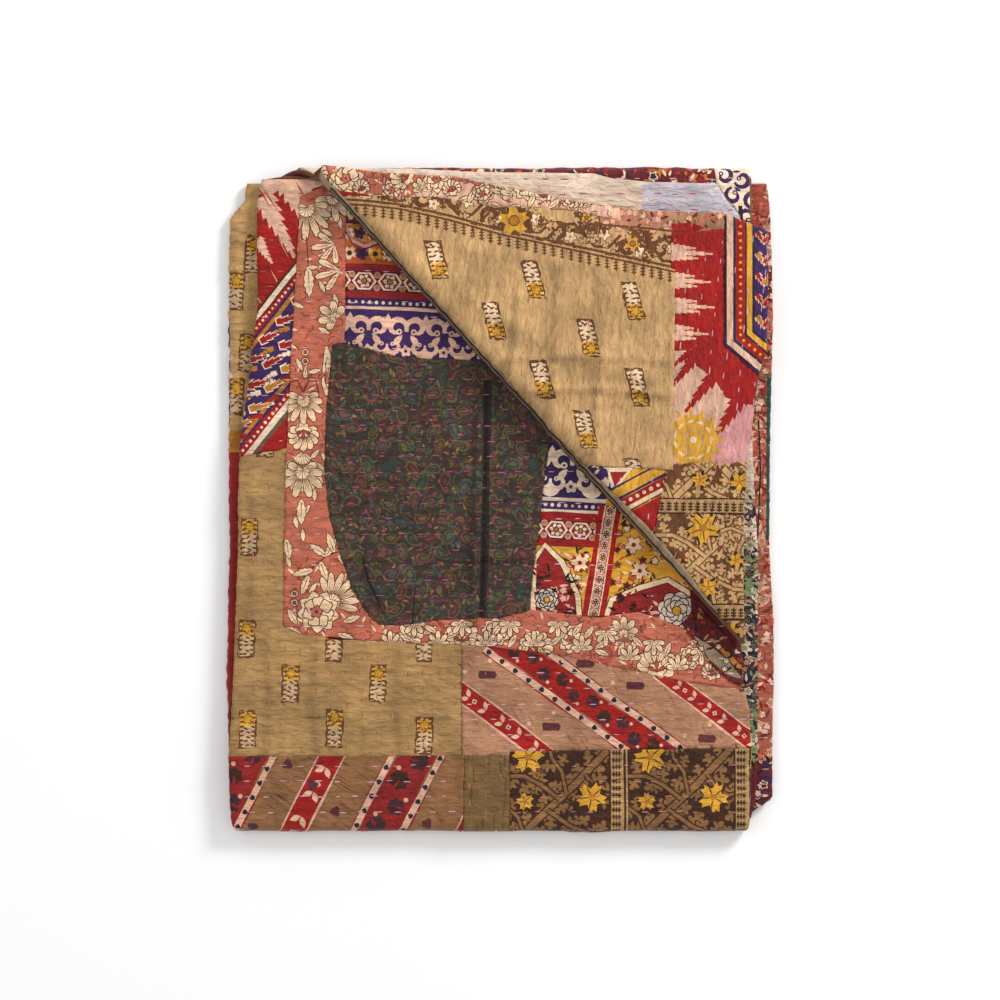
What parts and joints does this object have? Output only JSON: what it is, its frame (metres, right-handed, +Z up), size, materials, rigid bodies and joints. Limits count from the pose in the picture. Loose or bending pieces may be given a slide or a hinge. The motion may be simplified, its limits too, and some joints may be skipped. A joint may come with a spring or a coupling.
{
  "type": "throw blanket",
  "caption": "Folded patchwork kantha throw of layered printed silk, its top panel's corner turned back on a diagonal.",
  "frame": {"origin": "middle of the bounding box's underside, where the folded throw rests", "axes": "+Z up through the pile, +X to the right and +Y to the back fold as the throw lies in front of the viewer"},
  "size_m": [0.4485, 0.5449, 0.0351],
  "materials": {
    "quilted_silk": "matte"
  },
  "bodies": {
    "root": {"throw": "quilted_silk"}
  },
  "joints": []
}
